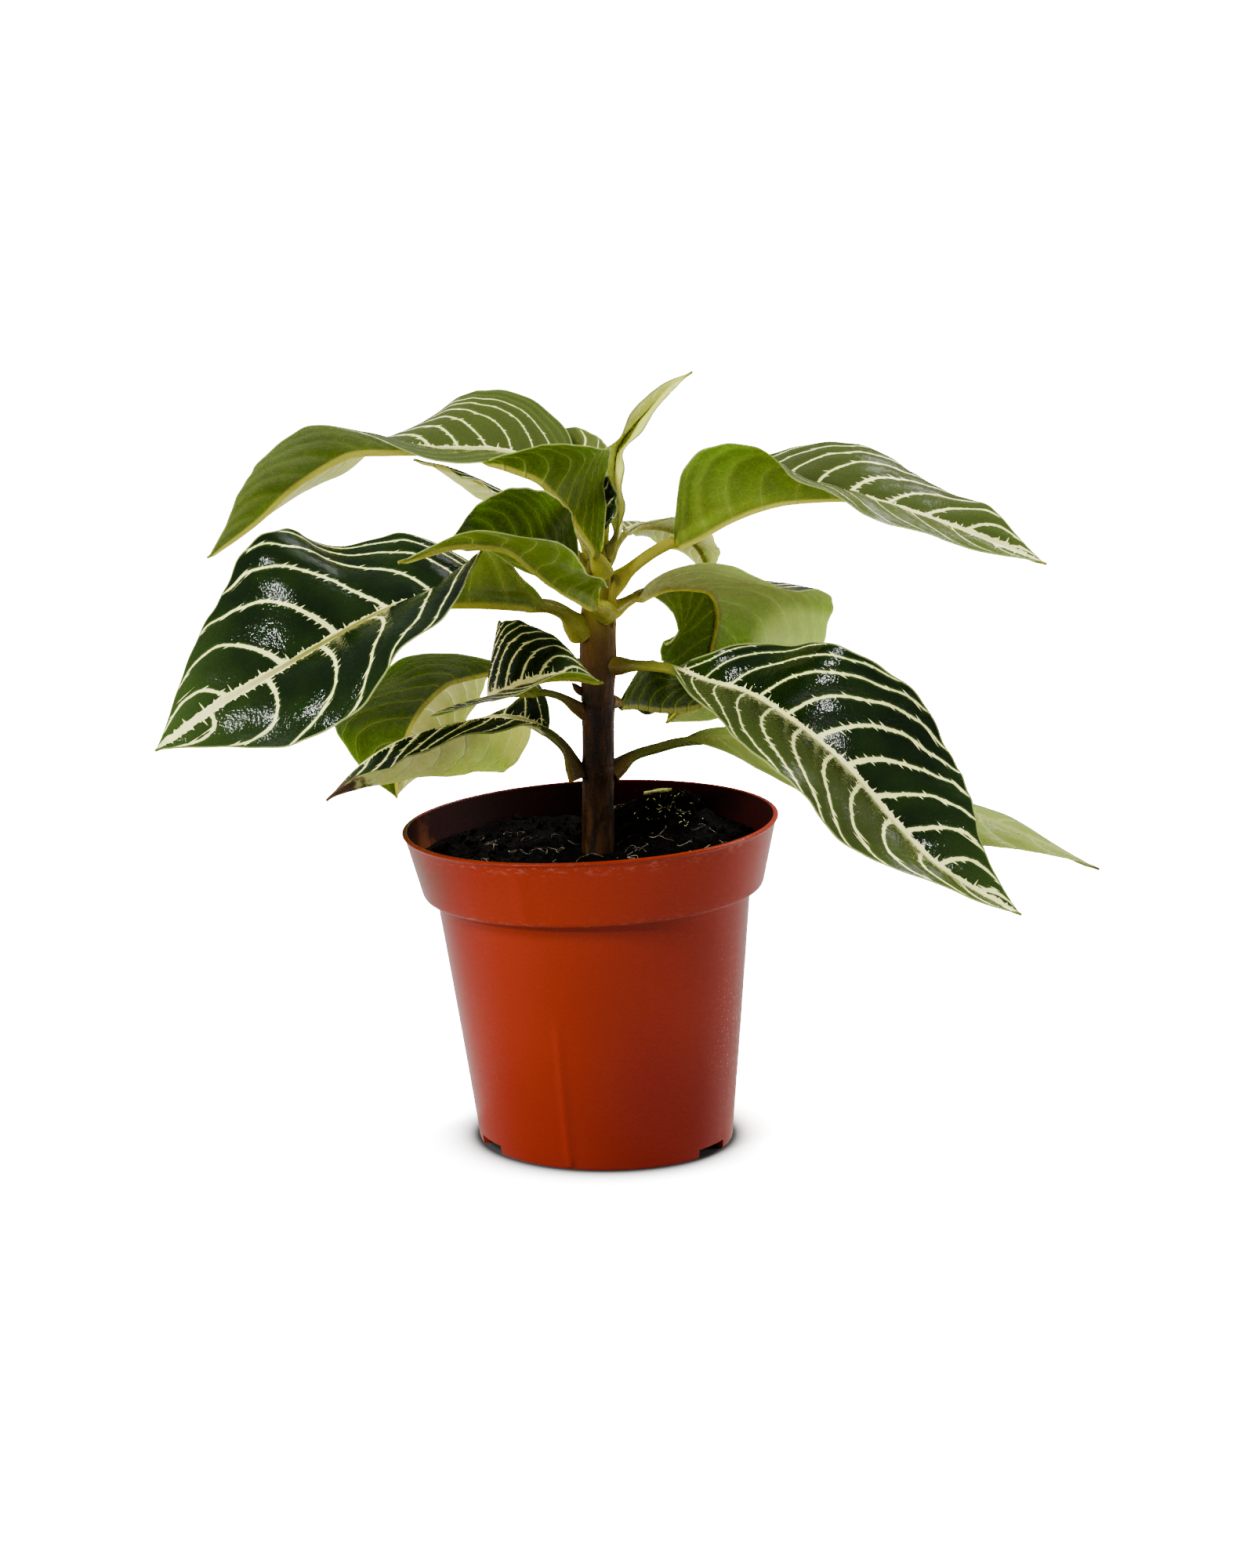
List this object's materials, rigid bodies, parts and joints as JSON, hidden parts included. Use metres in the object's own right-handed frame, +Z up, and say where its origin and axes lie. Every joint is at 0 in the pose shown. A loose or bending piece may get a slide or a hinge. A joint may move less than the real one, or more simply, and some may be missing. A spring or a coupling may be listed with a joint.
{
  "type": "potted zebra plant",
  "caption": "Young zebra plant with broad dark leaves and pale veins on an upright stem, rooted in soil in a tapered plastic nursery pot.",
  "frame": {"origin": "on the ground under the stem, on the flat pad under the pot's floor", "axes": "+Z up along the stem; +X to the viewer's right in the picture; the viewer stands on the -Y side"},
  "size_m": [0.3235, 0.1658, 0.2704],
  "materials": {
    "pot_plastic": "terracotta-orange moulded polypropylene, semi-gloss",
    "peat_soil": "near-black moist peat with pale fibres",
    "stem_skin": "dark brown, slightly waxy",
    "dry_leaf": "dry yellow-green scrap",
    "leaf_green": "dark green glossy top with cream veins, olive underside"
  },
  "bodies": {
    "root": {"pot": "pot_plastic", "soil": "peat_soil", "stem": "stem_skin", "leaf_scrap": "dry_leaf", "leaf_a": "leaf_green", "leaf_b": "leaf_green", "leaf_c": "leaf_green", "leaf_d": "leaf_green", "leaf_e": "leaf_green", "leaf_f": "leaf_green", "leaf_g": "leaf_green", "leaf_h": "leaf_green", "leaf_i": "leaf_green", "leaf_j": "leaf_green", "leaf_k": "leaf_green", "leaf_m": "leaf_green", "leaf_n": "leaf_green", "leaf_o": "leaf_green", "leaf_p": "leaf_green", "leaf_q": "leaf_green", "leaf_r": "leaf_green", "leaf_s": "leaf_green"}
  },
  "joints": []
}
